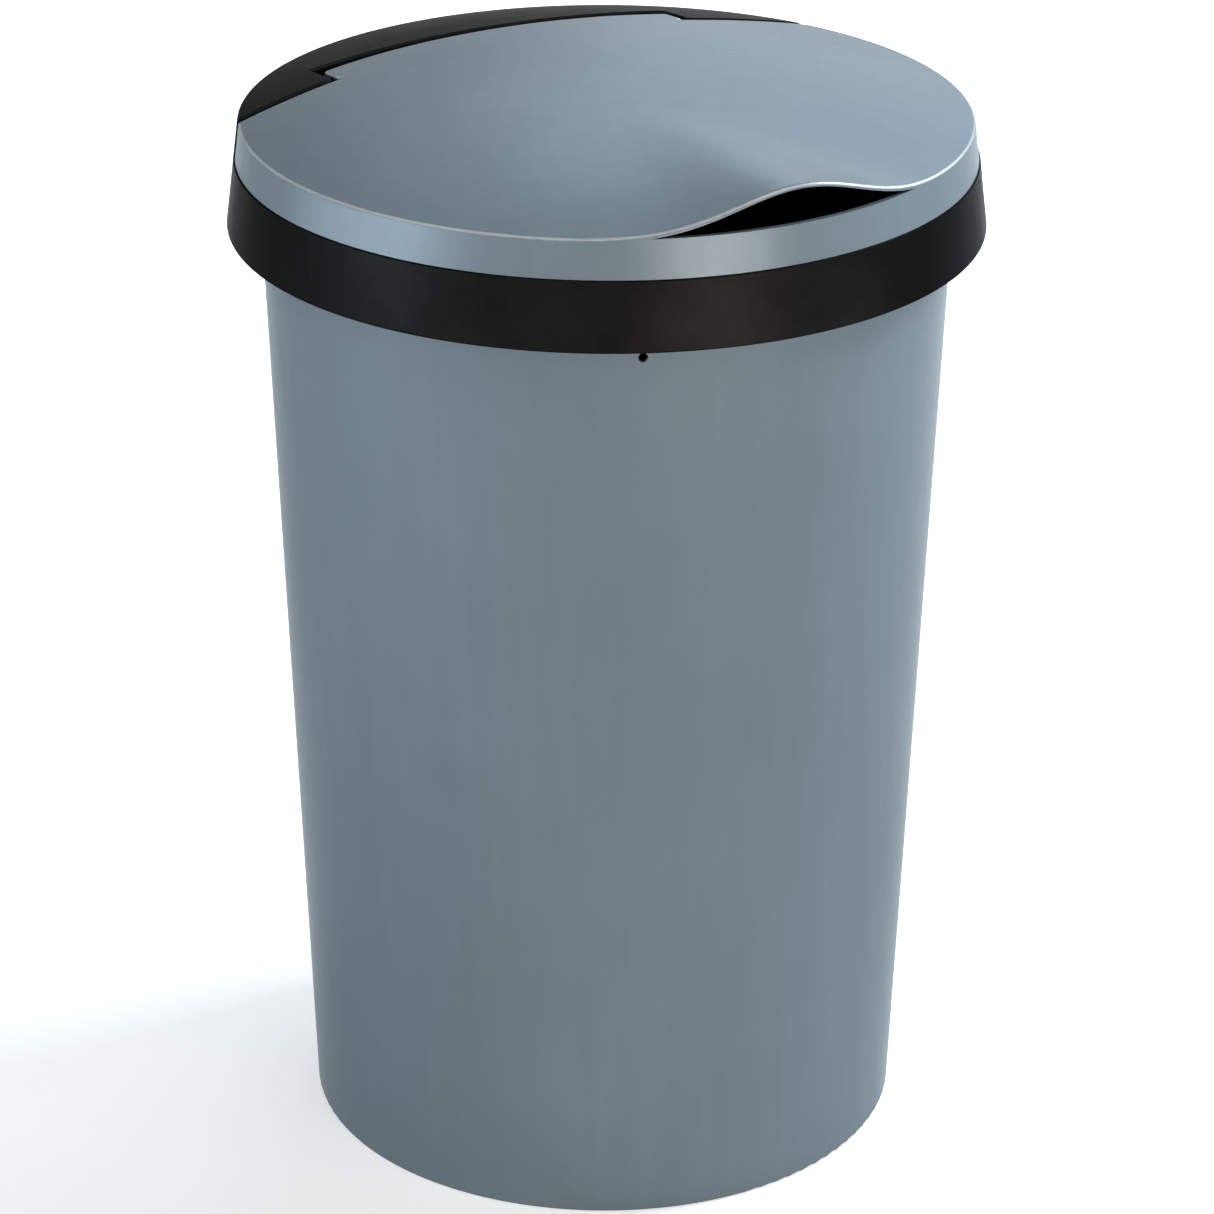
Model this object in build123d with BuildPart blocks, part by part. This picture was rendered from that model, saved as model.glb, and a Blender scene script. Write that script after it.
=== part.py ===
"""A round waste bin in millimetres: a tapered body, a lift-off collar and a lid hinged at the rear.

The front is -Y, the hinge is behind the centre, up is +Z and the origin is the bottom centre.
"""
from build123d import *
from math import atan2, degrees, exp, hypot, log, radians, sin, sqrt, tan
import os

os.makedirs("parts", exist_ok=True)

# Body
body_height = 550.9
base_radius = 163.4
rim_radius = 185.2
body_wall = 2.6
floor_wall = 3.2
foot_height = 6.0
foot_width = 9.0
heel_radius = 2.0
floor_radius = 10.0
bead_reach = 4.0
bead_drop = 9.0
bead_wall = 2.4
bead_radius = 1.1
vent_diameter = 5.0
vent_depth = 42.9
vent_turn = 24.2

# Collar, which shares one flare with the rear deck and the lid's band
flare_angle = 7.0
collar_wall = 2.6
seat_gap = 0.3
apron_room = 5.8
apron_height = 36.7
apron_edge = 1.0
shelf_edge = 0.6
shelf_reach = 16.7
mouth_room = 37.0
mouth_corner = 22.0
lip_depth = 9.0
throat_gap = 1.2
throat_wall = 2.2
throat_depth = 27.0
rib_count = 16
rib_wall = 1.8
rib_height = 20.0
rib_room = 1.0
deck_edge = 1.4
cheek_corner = 3.0

# Lid
band_gap = 0.3
band_height = 20.3
band_wall = 3.0
lid_inset = 0.8
lid_wall = 2.2
lid_edge = 2.0
sill_edge = 1.4
dome_rise = 15.0
dome_power = 3
brow_rise = 19.8
brow_turn = 11.3
window_room = 19.4
window_depth = 45.0
lid_rib_wall = 1.8
lid_rib_front = 112.0
lid_rib_drop = 1.0

# Tongue at the lid's rear and the slots beside it
slant_angle = 13.8
slot_gap = 4.0
cheek_gap = 3.0
tongue_half = 107.0
tongue_side = 20.5
tongue_bulge = 12.5
tongue_corner = 3.0
tail_gap = 6.2
corner_gap = 9.8
relief_radius = 2.2

# Hinge
hinge_margin = 77.7
hinge_drop = 1.0
pin_diameter = 4.0
pin_fit = 0.05
pin_head_diameter = 7.4
pin_head_height = 1.6
pin_end = 0.8
pin_chamfer = 0.5
lug_radius = 4.5
lug_width = 10.0
lug_margin = 19.6
ear_width = 6.0
ear_gap = 0.4
ear_foot_front = 13.0
ear_foot_back = 3.0

# How far cuts run past what they cut, and how finely the crown is drawn
overrun = 6.0
crown_steps = 44
crown_tolerance = 0.02

# Levels and radii that follow from the sizes above
flare = tan(radians(flare_angle))
shelf_top = body_height + seat_gap + collar_wall
shelf_under = shelf_top - collar_wall
shelf_radius = rim_radius + bead_reach + apron_room + collar_wall
apron_z = shelf_top - apron_height
band_z = shelf_top + band_gap
rim_z = band_z + band_height
crown_z = rim_z + dome_rise + brow_rise
mouth_radius = rim_radius - body_wall - shelf_reach
hinge_setback = shelf_radius - hinge_margin
mouth_setback = hinge_setback - mouth_room
lug_offset = tongue_half - lug_margin


def cone_radius(z, inset=0):
    """Radius at a height of the flared cone that the collar, deck and lid share."""
    return shelf_radius - flare * (z - shelf_top) - inset


def wall_radius(z):
    """Inside radius of the body's tapered wall at a height."""
    return base_radius + (rim_radius - base_radius) * z / body_height - body_wall


lid_radius = cone_radius(rim_z, lid_inset)
open_turn = brow_turn * sqrt(2 * log(brow_rise / lid_wall))
sill_half = lid_radius * sin(radians(open_turn))
reach = cone_radius(apron_z) + overrun
hinge_z = rim_z - hinge_drop
slot_y = hinge_setback - tongue_side
tail_y = hinge_setback + tongue_bulge
cheek_x = tongue_half + cheek_gap


def slant_y(x):
    """How far back the lid's slanted rear edge lies at a distance from the middle."""
    return slot_y - tan(radians(slant_angle)) * (abs(x) - tongue_half)


def crown_face(drop):
    """The lid's domed top with the raised brow over the finger opening, lowered by a wall."""
    def height(x, y):
        fall = (hypot(x, y) / lid_radius) ** dome_power
        turn = degrees(atan2(x, -y))
        brow = brow_rise * exp(-((turn / brow_turn) ** 2) / 2)
        return rim_z + dome_rise * (1 - fall) + brow * fall - drop

    places = [reach * (2 * step / crown_steps - 1) for step in range(crown_steps + 1)]
    grid = [[(x, y, height(x, y)) for x in places] for y in places]
    return Face.make_surface_from_array_of_points(grid, tol=crown_tolerance)


def flared_section(low, high, inset=0):
    """Half section of a block bounded by the shared flare, between two heights."""
    with BuildSketch(Plane.XZ) as section:
        with BuildLine():
            Polyline(
                (0, low),
                (cone_radius(low, inset), low),
                (cone_radius(high, inset), high),
                (0, high),
                close=True,
            )
        make_face()
    return section.sketch


def lid_plan():
    """The lid seen from above: cut off along two slants, with the tongue between them."""
    with BuildSketch(Plane.XY.offset(band_z)) as plan:
        with BuildLine():
            ThreePointArc(
                (tongue_half, hinge_setback), (0, tail_y), (-tongue_half, hinge_setback)
            )
            Polyline(
                (-tongue_half, hinge_setback),
                (-tongue_half, slot_y),
                (-reach, slant_y(reach)),
                (-reach, -reach),
                (reach, -reach),
                (reach, slant_y(reach)),
                (tongue_half, slot_y),
                (tongue_half, hinge_setback),
            )
        make_face()
        fillet(plan.vertices().sort_by(Axis.Y)[-2:], tongue_corner)
        with Locations(
            (tongue_half, slot_y + relief_radius), (-tongue_half, slot_y + relief_radius)
        ):
            Circle(relief_radius, mode=Mode.SUBTRACT)
    return plan.sketch


def deck_plan(inset=0):
    """The rear deck seen from above, round the tongue and along the slots."""
    side_y = slant_y(cheek_x) + slot_gap
    corner_y = hinge_setback + corner_gap
    with BuildSketch(Plane.XY.offset(shelf_under)) as plan:
        with BuildLine():
            ThreePointArc((cheek_x, corner_y), (0, tail_y + tail_gap), (-cheek_x, corner_y))
            Polyline(
                (-cheek_x, corner_y),
                (-cheek_x, side_y),
                (-reach, slant_y(reach) + slot_gap),
                (-reach, reach),
                (reach, reach),
                (reach, slant_y(reach) + slot_gap),
                (cheek_x, side_y),
                (cheek_x, corner_y),
            )
        make_face()
        fillet(plan.vertices().filter_by_position(Axis.X, -cheek_x, cheek_x), cheek_corner)
        if inset:
            offset(amount=-inset, mode=Mode.REPLACE)
    return plan.sketch


def front_plan(height, inset=0):
    """All that lies in front of the deck, seen from above, at a height."""
    with BuildSketch(Plane.XY.offset(height)) as plan:
        Rectangle(2 * reach, 2 * reach)
        add(deck_plan(inset).moved(Location((0, 0, height - shelf_under))), mode=Mode.SUBTRACT)
    return plan.sketch


def mouth_plan(margin=0):
    """The collar's mouth: a circle with its rear cut off straight, ahead of the hinge."""
    half_width = mouth_radius + overrun
    with BuildSketch(Plane.XY.offset(shelf_under)) as plan:
        Circle(mouth_radius)
        with Locations((0, mouth_setback - half_width)):
            Rectangle(2 * half_width, 2 * half_width, mode=Mode.INTERSECT)
        fillet(plan.vertices(), mouth_corner)
        if margin:
            offset(amount=margin, mode=Mode.REPLACE)
    return plan.sketch


# The body is one revolved wall with a raised floor, a foot ring and a bead that turns down
bead_radius_out = rim_radius + bead_reach
floor_z = foot_height + floor_wall
with BuildPart() as body:
    with BuildSketch(Plane.XZ):
        with BuildLine():
            Polyline(
                (0, foot_height),
                (base_radius - foot_width - foot_height, foot_height),
                (base_radius - foot_width, 0),
                (base_radius, 0),
                (wall_radius(body_height - bead_wall) + body_wall, body_height - bead_wall),
                (bead_radius_out - bead_wall, body_height - bead_wall),
                (bead_radius_out - bead_wall, body_height - bead_drop),
                (bead_radius_out, body_height - bead_drop),
                (bead_radius_out, body_height),
                (wall_radius(body_height), body_height),
                (wall_radius(floor_z), floor_z),
                (0, floor_z),
                close=True,
            )
        make_face()
    revolve(axis=Axis.Z)
    rings = body.edges().filter_by(GeomType.CIRCLE)
    fillet(rings.group_by(Axis.Z)[-1], bead_radius)
    fillet(rings.group_by(Axis.Z)[0].sort_by(SortBy.RADIUS)[-1], heel_radius)
    fillet(rings.filter_by(lambda ring: abs(ring.center().Z - floor_z) < floor_wall / 2), floor_radius)
    vent_z = body_height - vent_depth
    with BuildSketch(Plane.XZ.rotated((0, 0, -vent_turn)).offset(wall_radius(vent_z) - overrun)):
        with Locations((0, vent_z)):
            Circle(vent_diameter / 2)
    extrude(amount=body_wall + 2 * overrun, mode=Mode.SUBTRACT)

# Everything that the collar's walls go round, less the throat ring, the mouth's lip and the ribs
throat_z = shelf_under - throat_depth
rib_start = bead_radius_out + rib_room
with BuildPart() as collar_inside:
    revolve(flared_section(apron_z - overrun, crown_z, collar_wall), axis=Axis.Z)
    extrude(crown_face(collar_wall), amount=crown_z, dir=(0, 0, -1), mode=Mode.INTERSECT)
    extrude(front_plan(shelf_under, collar_wall), amount=crown_z, mode=Mode.SUBTRACT)
    with BuildSketch(Plane.XZ):
        with BuildLine():
            Polyline(
                (wall_radius(throat_z) - throat_gap, throat_z),
                (wall_radius(crown_z) - throat_gap, crown_z),
                (wall_radius(crown_z) - throat_gap - throat_wall, crown_z),
                (wall_radius(throat_z) - throat_gap - throat_wall, throat_z),
                close=True,
            )
        make_face()
    revolve(axis=Axis.Z, mode=Mode.SUBTRACT)
    extrude(mouth_plan(collar_wall), amount=-lip_depth, mode=Mode.SUBTRACT)
    with BuildSketch(Plane.XY.offset(shelf_under - rib_height)):
        with PolarLocations((rib_start + reach) / 2, rib_count, 180 / rib_count):
            Rectangle(reach - rib_start, rib_wall)
    extrude(amount=crown_z - shelf_under, mode=Mode.SUBTRACT)

ear_places = [
    side * (lug_offset + step * (lug_width + ear_width + 2 * ear_gap) / 2)
    for side in (-1, 1)
    for step in (-1, 1)
]
with BuildPart() as collar:
    revolve(flared_section(apron_z, crown_z), axis=Axis.Z)
    extrude(crown_face(0), amount=crown_z, dir=(0, 0, -1), mode=Mode.INTERSECT)
    extrude(front_plan(shelf_top), amount=crown_z, mode=Mode.SUBTRACT)
    fillet(collar.faces().sort_by(Axis.Z)[-1].edges(), deck_edge)
    rings = collar.edges().filter_by(GeomType.CIRCLE)
    fillet(rings.filter_by_position(Axis.Z, apron_z - seat_gap, apron_z + seat_gap), apron_edge)
    fillet(rings.filter_by_position(Axis.Z, shelf_top - seat_gap, shelf_top + seat_gap), shelf_edge)
    add(collar_inside.part, mode=Mode.SUBTRACT)
    extrude(mouth_plan(), amount=-lip_depth - overrun, mode=Mode.SUBTRACT)
    extrude(mouth_plan(), amount=collar_wall + overrun, mode=Mode.SUBTRACT)
    for place in ear_places:
        with BuildSketch(Plane.YZ.offset(place - ear_width / 2)):
            with Locations((hinge_setback, hinge_z)):
                Circle(lug_radius)
            with BuildLine():
                Line(
                    (hinge_setback - ear_foot_front, shelf_under),
                    (hinge_setback - ear_foot_back, shelf_under),
                )
            make_hull()
        extrude(amount=ear_width)
    with BuildSketch(Plane.YZ.offset(-cheek_x)):
        with Locations((hinge_setback, hinge_z)):
            Circle(pin_diameter / 2 + pin_fit)
    extrude(amount=2 * cheek_x, mode=Mode.SUBTRACT)

# What the lid's shell goes round, less its ribs and hinge lugs
lug_span = [side * lug_offset - lug_width / 2 for side in (-1, 1)]
with BuildPart() as lid_inside:
    revolve(flared_section(band_z - overrun, crown_z, lid_inset + band_wall), axis=Axis.Z)
    with BuildSketch(Plane.XY.offset(band_z - overrun)):
        with BuildLine():
            Polyline(
                (-reach, -reach),
                (reach, -reach),
                (reach, slant_y(reach) - lid_wall),
                (tongue_half, slot_y - lid_wall),
                (-tongue_half, slot_y - lid_wall),
                (-reach, slant_y(reach) - lid_wall),
                close=True,
            )
        make_face()
    extrude(amount=crown_z, mode=Mode.INTERSECT)
    with BuildSketch(Plane.XY.offset(rim_z)):
        with Locations((0, -reach + window_depth / 2)):
            Rectangle(2 * (sill_half + window_room), window_depth)
    extrude(amount=crown_z - rim_z)
    with BuildSketch(Plane.XY.offset(band_z - overrun)):
        with Locations((0, (slot_y + reach) / 2)):
            Rectangle(2 * reach, reach - slot_y)
    extrude(amount=crown_z - band_z + overrun)
    extrude(crown_face(lid_wall), amount=crown_z, dir=(0, 0, -1), mode=Mode.INTERSECT)
    with BuildSketch(Plane.XY.offset(rim_z - lid_rib_drop)):
        for rib_x in (-lug_offset, -lug_offset / 3, lug_offset / 3, lug_offset):
            with Locations((rib_x, (slot_y - lid_rib_front) / 2)):
                Rectangle(lid_rib_wall, slot_y + lid_rib_front)
    extrude(amount=crown_z - rim_z, mode=Mode.SUBTRACT)
    for start in lug_span:
        with BuildSketch(Plane.YZ.offset(start)):
            with Locations((hinge_setback, hinge_z)):
                Circle(lug_radius)
            with BuildLine():
                Polyline(
                    (slot_y - lid_wall / 2, hinge_z - lug_radius),
                    (slot_y - lid_wall / 2, crown_z),
                    (hinge_setback + lug_radius / 2, crown_z),
                )
            make_hull()
        extrude(amount=lug_width, mode=Mode.SUBTRACT)

# The sharp corner of the sill under the brow, which is rounded as far as the opening reaches
with BuildPart() as sill_corner:
    with BuildSketch(Plane.XZ):
        with BuildLine():
            crest = (lid_radius - sill_edge, rim_z)
            side = (cone_radius(rim_z - sill_edge, lid_inset), rim_z - sill_edge)
            TangentArc(crest, side, tangent=(1, 0))
            Polyline(side, (lid_radius + overrun, side[1]), (lid_radius + overrun, rim_z), crest)
        make_face()
    revolve(axis=Axis.Z)
    with BuildSketch(Plane.XY.offset(rim_z - overrun)):
        with Locations((0, -reach / 2)):
            Rectangle(2 * sill_half, reach)
    extrude(amount=2 * overrun, mode=Mode.INTERSECT)

with BuildPart() as lid:
    revolve(flared_section(band_z, crown_z, lid_inset), axis=Axis.Z)
    extrude(lid_plan(), amount=crown_z - band_z, mode=Mode.INTERSECT)
    extrude(crown_face(0), amount=crown_z, dir=(0, 0, -1), mode=Mode.INTERSECT)
    crown = lid.faces().sort_by(Axis.Z)[-1]
    fillet(crown.edges(), lid_edge)
    add(lid_inside.part, mode=Mode.SUBTRACT)
    add(sill_corner.part, mode=Mode.SUBTRACT)
    with BuildSketch(Plane.YZ.offset(-cheek_x)):
        with Locations((hinge_setback, hinge_z)):
            Circle(pin_diameter / 2 + pin_fit)
    extrude(amount=2 * cheek_x, mode=Mode.SUBTRACT)

for name, piece in (("body", body), ("collar", collar), ("lid", lid)):
    piece.part.label = name
    export_step(piece.part, f"parts/{name}.step")
    print(name, len(piece.part.solids()), round(piece.part.volume / 1000), piece.part.is_valid)


def hinge_pin(name, side):
    """One headed pin through an ear, a lug and an ear, with its head towards the middle."""
    inner = lug_offset - lug_width / 2 - ear_gap - ear_width
    outer = lug_offset + lug_width / 2 + ear_gap + ear_width
    with BuildPart() as pin:
        with BuildSketch(Plane.YZ.offset(inner)):
            with Locations((hinge_setback, hinge_z)):
                Circle(pin_head_diameter / 2)
        extrude(amount=-pin_head_height)
        with BuildSketch(Plane.YZ.offset(inner)):
            with Locations((hinge_setback, hinge_z)):
                Circle(pin_diameter / 2)
        extrude(amount=outer - inner + pin_end)
        chamfer(pin.edges().sort_by(Axis.X)[-1], pin_chamfer)
    placed = pin.part if side > 0 else pin.part.mirror(Plane.YZ)
    placed.label = name
    export_step(placed, f"parts/{name}.step")


hinge_pin("hinge_pin_left", -1)
hinge_pin("hinge_pin_right", 1)
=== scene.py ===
"""Looks for a round waste bin: satin silver body and lid, black collar, pale studio floor.

Lengths are in metres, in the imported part's own frame: front -Y, up +Z.
"""
from math import cos, pi, radians, sin

import bpy
from mathutils import Matrix, Vector

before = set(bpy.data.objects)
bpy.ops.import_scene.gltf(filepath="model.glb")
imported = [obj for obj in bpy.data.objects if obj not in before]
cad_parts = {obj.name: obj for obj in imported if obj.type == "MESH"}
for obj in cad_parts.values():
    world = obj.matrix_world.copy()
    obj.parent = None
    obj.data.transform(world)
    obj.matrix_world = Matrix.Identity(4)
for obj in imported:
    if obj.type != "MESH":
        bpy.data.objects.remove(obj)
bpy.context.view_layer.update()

# Camera, fitted to the photograph's circles and edges
photo_width = 1214
focal_pixels = 4795.9
sensor = 36.0
far_clip = 100
camera_turn = radians(-30)
camera_distance = 2.4147
camera_height = 1.3806
camera_pitch = radians(24.33)
camera_roll = 0.0051
camera_yaw = 0.0005

# Noises below are a scale, a detail and a roughness; bumps are a distance and a strength
white = (1, 1, 1, 1)

# Floor: its glow rises from near to far between two distances from the bin's middle
floor_size = 30.0
floor_colour = (0.82, 0.82, 0.82)
floor_roughness = 0.9
floor_specular = 0.1
speckle_noise = (5, 3, 0.5)
speckle_range = (0.985, 1.0)
glow_range = (0.5, 1.0)
glow_rise = (1.0, 2.0)

# Silver: flow clouds and upright streaks between two shades, with glints of the pigment
silver_shade = (0.160, 0.201, 0.232)
silver_dark = (0.145, 0.182, 0.210)
silver_sheen = dict(Metallic=0.28, Specular_IOR_Level=0.1, Specular_Tint=(0.2, 0.2, 0.2, 1))
cloud_noise = (9, 3, 0.55)
cloud_share = 0.6
streak_noise = (1, 3, 0.6)
streak_stretch = (90, 90, 4)
streak_share = 0.4
shade_spread = (0.36, 0.64)
flake_scale = 2600
flake_spread = (0.1, 0.55)
glint_share = 0.22
glint_gain = 1.35
silver_gloss_noise = (160, 3, 0.6)
silver_roughness = (0.29, 0.36)
wave_noise = (28, 2, 0.5)
wave_bump = (0.0012, 0.25)
grain_noise = (1500, 2, 0.6)
grain_bump = (0.00006, 0.6)

# Painted highlight on rounded edges, found by how far the surface faces up: none on walls and
# none on flat tops. It is a paler colour that stands in for the bright lines light draws along
# the edges.
edge_highlight_shade = (0.50, 0.53, 0.55)
edge_highlight_share = 0.8
edge_highlight_rise = (0.3, 0.5)
edge_highlight_fall = (0.84, 0.93)
edge_highlight_noise = (60, 3, 0.6)
edge_highlight_spread = (0.35, 0.65)
edge_highlight_range = (0.75, 1.0)

# Black: dust clouds, a spark-eroded grain and faint handling marks
black_shade = (0.0075, 0.0075, 0.0075)
black_roughness = 0.34
pin_shade = (0.006, 0.006, 0.006)
pin_roughness = 0.3
black_sheen = dict(Metallic=0.5, Specular_IOR_Level=0.012, Specular_Tint=(0.1, 0.1, 0.1, 1))
dust_noise = (14, 4, 0.6)
dust_spread = (0.4, 0.7)
dust_gain = 1.6
spark_scale = 1500
fine_noise = (2400, 2, 0.6)
fine_share = 0.5
spark_bump = (0.00008, 0.5)
handling_noise = (60, 4, 0.6)
handling_range = (-0.04, 0.06)

# Lamps: turn from the camera's side (right is positive), height angle, width, height,
# power and colour
lamp_target = Vector((0, 0, 0.32))
lamp_distance = 2.6
lamps = {
    "left": (-56, 10, 1.5, 0.9, 13, (0.82, 0.93, 1.0)),
    "strip_left": (-74, 0, 2.4, 0.3, 22, (0.84, 0.93, 1.0)),
    "front": (-16, 12, 1.4, 0.9, 5, (1.0, 0.92, 0.84)),
    "strip_front": (31, 0, 1.5, 0.3, 24, (1.0, 0.86, 0.74)),
    "strip_right": (84, 0, 2.6, 0.22, 6, (0.82, 0.92, 1.0)),
    "key": (113, 37, 1.1, 1.1, 70, (0.80, 0.92, 1.0)),
    "back": (157, 26, 2.2, 1.3, 23, (0.77, 0.89, 1.0)),
    "behind": (166, 44, 2.2, 1.2, 8, (0.77, 0.89, 1.0)),
    "edge_right": (42, 50, 1.5, 0.35, 7, (1.0, 0.96, 0.91)),
    "edge_left": (-66, 50, 1.5, 0.35, 5, (0.88, 0.95, 1.0)),
    "fill": (-6, 36, 0.5, 0.5, 5, (1.0, 0.96, 0.91)),
}


def make_camera():
    """The photograph's camera: level line of sight turned, tipped down and rolled a little."""
    data = bpy.data.cameras.new("camera")
    data.sensor_width = sensor
    data.lens = focal_pixels / photo_width * sensor
    data.clip_end = far_clip
    camera = bpy.data.objects.new("camera", data)
    place = Vector((sin(camera_turn), -cos(camera_turn), 0)) * camera_distance
    place.z = camera_height
    heading = Matrix.Rotation(camera_turn - camera_yaw, 4, "Z")
    tip = Matrix.Rotation(pi / 2 - camera_pitch, 4, "X")
    roll = Matrix.Rotation(camera_roll, 4, "Z")
    camera.matrix_world = Matrix.Translation(place) @ heading @ tip @ roll
    bpy.context.scene.collection.objects.link(camera)
    bpy.context.scene.camera = camera


def make_lamp(name, turn, height, across, tall, power, colour):
    """A soft oblong lamp aimed at the middle of the bin."""
    data = bpy.data.lights.new(name, "AREA")
    data.shape = "RECTANGLE"
    data.size = across
    data.size_y = tall
    data.energy = power
    data.color = colour
    lamp = bpy.data.objects.new(name, data)
    a = camera_turn + radians(turn)
    e = radians(height)
    away = Vector((sin(a) * cos(e), -cos(a) * cos(e), sin(e)))
    lamp.location = lamp_target + away * lamp_distance
    lamp.rotation_mode = "QUATERNION"
    lamp.rotation_quaternion = away.to_track_quat("Z", "Y")
    bpy.context.scene.collection.objects.link(lamp)


class Shader:
    """A new material and short ways to add and join its nodes."""

    def __init__(self, name):
        self.material = bpy.data.materials.new(name)
        self.material.use_nodes = True
        self.tree = self.material.node_tree
        self.surface = self.tree.nodes["Principled BSDF"]
        coordinates = self.add("ShaderNodeTexCoord")
        self.place = coordinates.outputs["Object"]
        self.facing = coordinates.outputs["Normal"]

    def add(self, kind, **settings):
        node = self.tree.nodes.new(kind)
        for key, value in settings.items():
            setattr(node, key, value)
        return node

    def join(self, source, target):
        self.tree.links.new(source, target)

    def drive(self, name, source):
        """Joins a value to one of the surface's inputs."""
        self.join(source, self.surface.inputs[name])

    def set(self, **values):
        """Fixed values for the surface's inputs, with _ for each space in a name."""
        for key, value in values.items():
            self.surface.inputs[key.replace("_", " ")].default_value = value

    def stretched(self, scale):
        """The object's own coordinates, scaled along each axis."""
        node = self.add("ShaderNodeMapping")
        self.join(self.place, node.inputs["Vector"])
        node.inputs["Scale"].default_value = scale
        return node.outputs["Vector"]

    def noise(self, settings, place=None):
        """Clouds from a scale, a detail and a roughness."""
        node = self.add("ShaderNodeTexNoise")
        self.join(place or self.place, node.inputs["Vector"])
        for key, value in zip(("Scale", "Detail", "Roughness"), settings):
            node.inputs[key].default_value = value
        return node.outputs["Fac"]

    def cells(self, scale):
        """Distance to the nearest of many scattered points."""
        node = self.add("ShaderNodeTexVoronoi")
        self.join(self.place, node.inputs["Vector"])
        node.inputs["Scale"].default_value = scale
        return node.outputs["Distance"]

    def ranged(self, source, target, start=(0.0, 1.0)):
        """Maps a value from the start range to the target range, held at its ends."""
        node = self.add("ShaderNodeMapRange")
        self.join(source, node.inputs["Value"])
        for key, value in zip(("From Min", "From Max", "To Min", "To Max"), (*start, *target)):
            node.inputs[key].default_value = value
        return node.outputs["Result"]

    def combined(self, operation, first, second):
        """Two values, or a value and a number, joined by a sum or product."""
        node = self.add("ShaderNodeMath", operation=operation)
        for socket, value in zip(node.inputs, (first, second)):
            if isinstance(value, (int, float)):
                socket.default_value = value
            else:
                self.join(value, socket)
        return node.outputs["Value"]

    def blended(self, factor, first, second):
        """A colour between two colours, by a value."""
        node = self.add("ShaderNodeMix", data_type="RGBA")
        self.join(factor, node.inputs["Factor"])
        for key, value in (("A", first), ("B", second)):
            socket = [s for s in node.inputs if s.name == key and s.type == "RGBA"][0]
            if isinstance(value, tuple):
                socket.default_value = (*value, 1)
            else:
                self.join(value, socket)
        return [s for s in node.outputs if s.type == "RGBA"][0]

    def bump(self, height, settings, below=None):
        """Relief from a distance and a strength, on top of the relief below it."""
        node = self.add("ShaderNodeBump")
        for key, value in zip(("Distance", "Strength"), settings):
            node.inputs[key].default_value = value
        self.join(height, node.inputs["Height"])
        if below:
            self.join(below, node.inputs["Normal"])
        return node.outputs["Normal"]


def brighter(shade, gain):
    """A colour with each part raised by the same gain."""
    return tuple(min(1, value * gain) for value in shade)


def silver_plastic(name):
    """Satin plastic with a fine metallic pigment, a moulded grain and a painted highlight on
    edges that face partly up.
    """
    made = Shader(name)
    clouds = made.noise(cloud_noise)
    streaks = made.noise(streak_noise, made.stretched(streak_stretch))
    flow = made.combined(
        "ADD",
        made.combined("MULTIPLY", clouds, cloud_share),
        made.combined("MULTIPLY", streaks, streak_share),
    )
    glints = made.ranged(made.cells(flake_scale), (1, 0), flake_spread)
    base = made.blended(made.ranged(flow, (0, 1), shade_spread), silver_dark, silver_shade)
    glint_amount = made.combined("MULTIPLY", glints, glint_share)
    glinting = made.blended(glint_amount, base, brighter(silver_shade, glint_gain))
    turned = made.add("ShaderNodeSeparateXYZ")
    made.join(made.facing, turned.inputs["Vector"])
    upward = turned.outputs["Z"]
    # Painted highlight: edges that face partly up are blended towards a pale grey, broken up by
    # noise, standing in for edge highlights
    highlit_edges = made.combined(
        "MULTIPLY",
        made.ranged(upward, (0, edge_highlight_share), edge_highlight_rise),
        made.ranged(upward, (1, 0), edge_highlight_fall),
    )
    highlight_breakup = made.ranged(made.noise(edge_highlight_noise), edge_highlight_range, edge_highlight_spread)
    painted_highlight = made.combined("MULTIPLY", highlit_edges, highlight_breakup)
    made.drive("Base Color", made.blended(painted_highlight, glinting, edge_highlight_shade))
    made.drive("Roughness", made.ranged(made.noise(silver_gloss_noise), silver_roughness))
    waves = made.bump(made.noise(wave_noise), wave_bump)
    made.drive("Normal", made.bump(made.noise(grain_noise), grain_bump, waves))
    made.set(**silver_sheen)
    return made.material


def black_plastic(name, shade, roughness):
    """Dull black plastic with a fine spark-eroded grain and faint handling marks."""
    made = Shader(name)
    dust = made.ranged(made.noise(dust_noise), (0, 1), dust_spread)
    made.drive("Base Color", made.blended(dust, shade, brighter(shade, dust_gain)))
    fine = made.combined("MULTIPLY", made.noise(fine_noise), fine_share)
    grain = made.combined("ADD", made.cells(spark_scale), fine)
    marks = tuple(roughness + change for change in handling_range)
    made.drive("Roughness", made.ranged(made.noise(handling_noise), marks))
    made.drive("Normal", made.bump(grain, spark_bump))
    made.set(**black_sheen)
    return made.material


def seen_rays(tree):
    """1 for the camera, reflections and what shows through glass, and 0 for all other light."""
    rays = tree.nodes.new("ShaderNodeLightPath")
    seen = rays.outputs["Is Camera Ray"]
    for kind in ("Is Glossy Ray", "Is Transmission Ray"):
        either = tree.nodes.new("ShaderNodeMath")
        either.operation = "MAXIMUM"
        tree.links.new(seen, either.inputs[0])
        tree.links.new(rays.outputs[kind], either.inputs[1])
        seen = either.outputs["Value"]
    return seen


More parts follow.
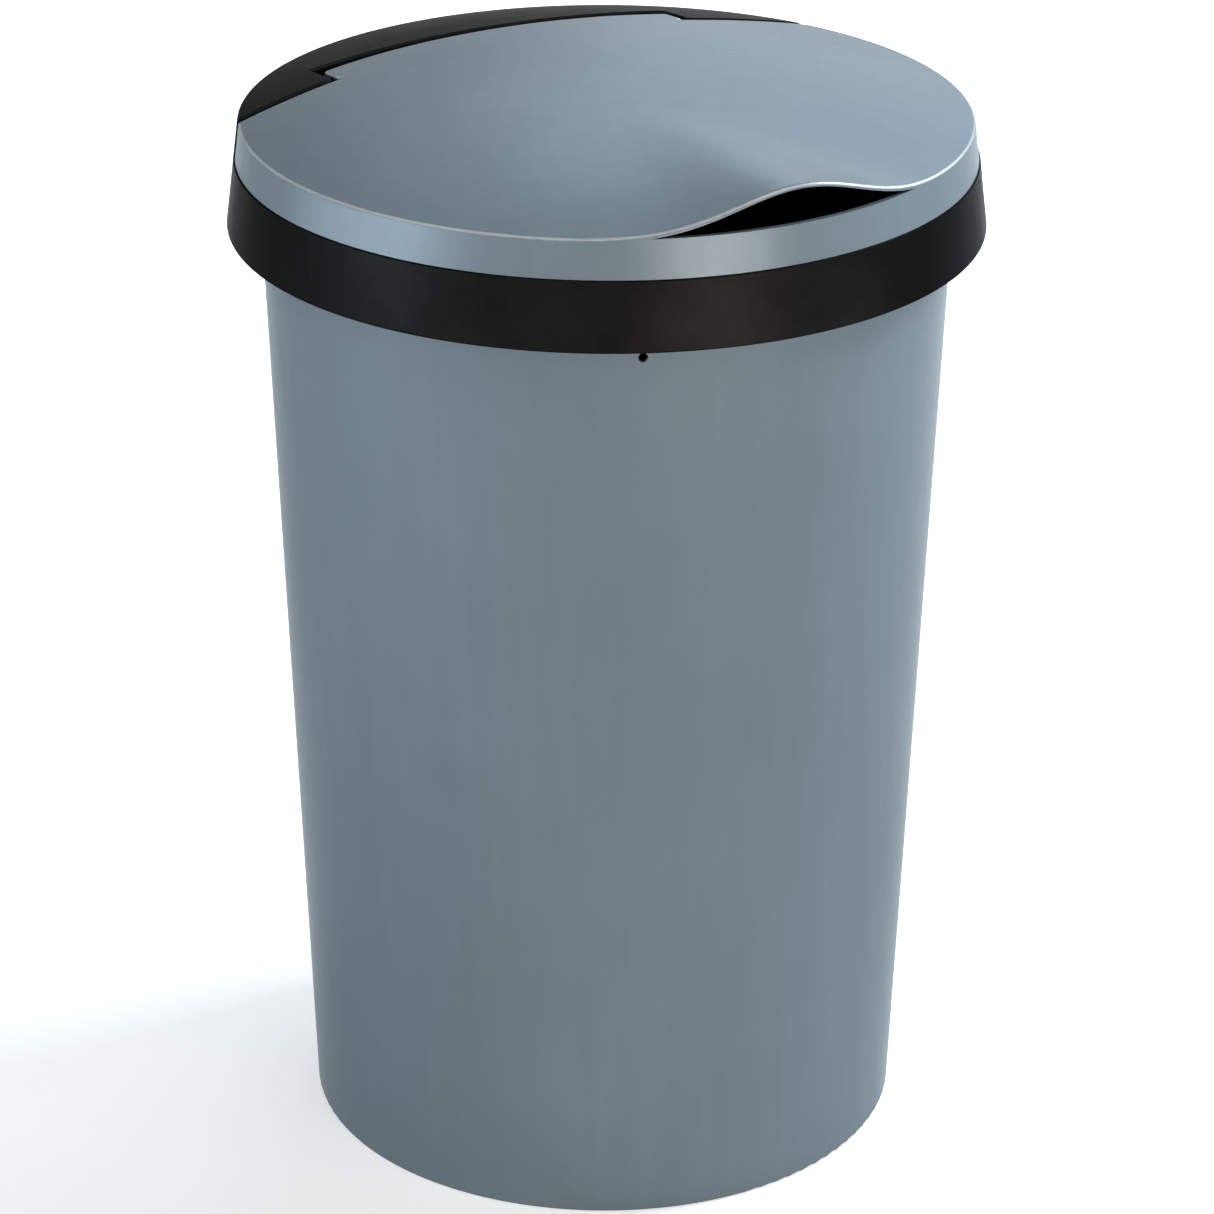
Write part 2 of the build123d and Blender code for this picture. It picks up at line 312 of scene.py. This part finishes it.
def floor_material():
    """A pale card with a glow that gives no light, which makes it white away from the bin."""
    made = Shader("studio_floor")
    made.set(Roughness=floor_roughness, Specular_IOR_Level=floor_specular)
    speckle = made.ranged(made.noise(speckle_noise), speckle_range)
    made.drive("Base Color", made.blended(speckle, (0, 0, 0), floor_colour))
    glow = made.add("ShaderNodeEmission")
    glow.inputs["Color"].default_value = white
    reach = made.add("ShaderNodeVectorMath", operation="LENGTH")
    made.join(made.place, reach.inputs[0])
    strength = made.ranged(reach.outputs["Value"], glow_range, glow_rise)
    seen = seen_rays(made.tree)
    made.join(made.combined("MULTIPLY", seen, strength), glow.inputs["Strength"])
    both = made.add("ShaderNodeAddShader")
    made.join(made.surface.outputs["BSDF"], both.inputs[0])
    made.join(glow.outputs["Emission"], both.inputs[1])
    made.join(both.outputs["Shader"], made.tree.nodes["Material Output"].inputs["Surface"])
    return made.material


def make_floor():
    """A large plain floor."""
    mesh = bpy.data.meshes.new("floor")
    half = floor_size / 2
    corners = [(-half, -half, 0), (half, -half, 0), (half, half, 0), (-half, half, 0)]
    mesh.from_pydata(corners, [], [(0, 1, 2, 3)])
    floor = bpy.data.objects.new("floor", mesh)
    bpy.context.scene.collection.objects.link(floor)
    mesh.materials.append(floor_material())


def make_room():
    """White surroundings for the camera and in reflections, which give no light of their own."""
    world = bpy.data.worlds.new("room")
    world.use_nodes = True
    bpy.context.scene.world = world
    back = world.node_tree.nodes["Background"]
    back.inputs["Color"].default_value = white
    world.node_tree.links.new(seen_rays(world.node_tree), back.inputs["Strength"])


def dress(node, material):
    """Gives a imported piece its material."""
    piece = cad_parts[node]
    piece.data.materials.clear()
    piece.data.materials.append(material)


bpy.context.scene.view_settings.view_transform = "Standard"
make_camera()
make_room()
make_floor()
for lamp_name, lamp_settings in lamps.items():
    make_lamp(lamp_name, *lamp_settings)

silver = silver_plastic("silver_plastic")
black = black_plastic("black_plastic", black_shade, black_roughness)
pins = black_plastic("pin_plastic", pin_shade, pin_roughness)
dress("body", silver)
dress("lid", silver)
dress("collar", black)
dress("hinge_pin_left", pins)
dress("hinge_pin_right", pins)

bpy.context.view_layer.update()
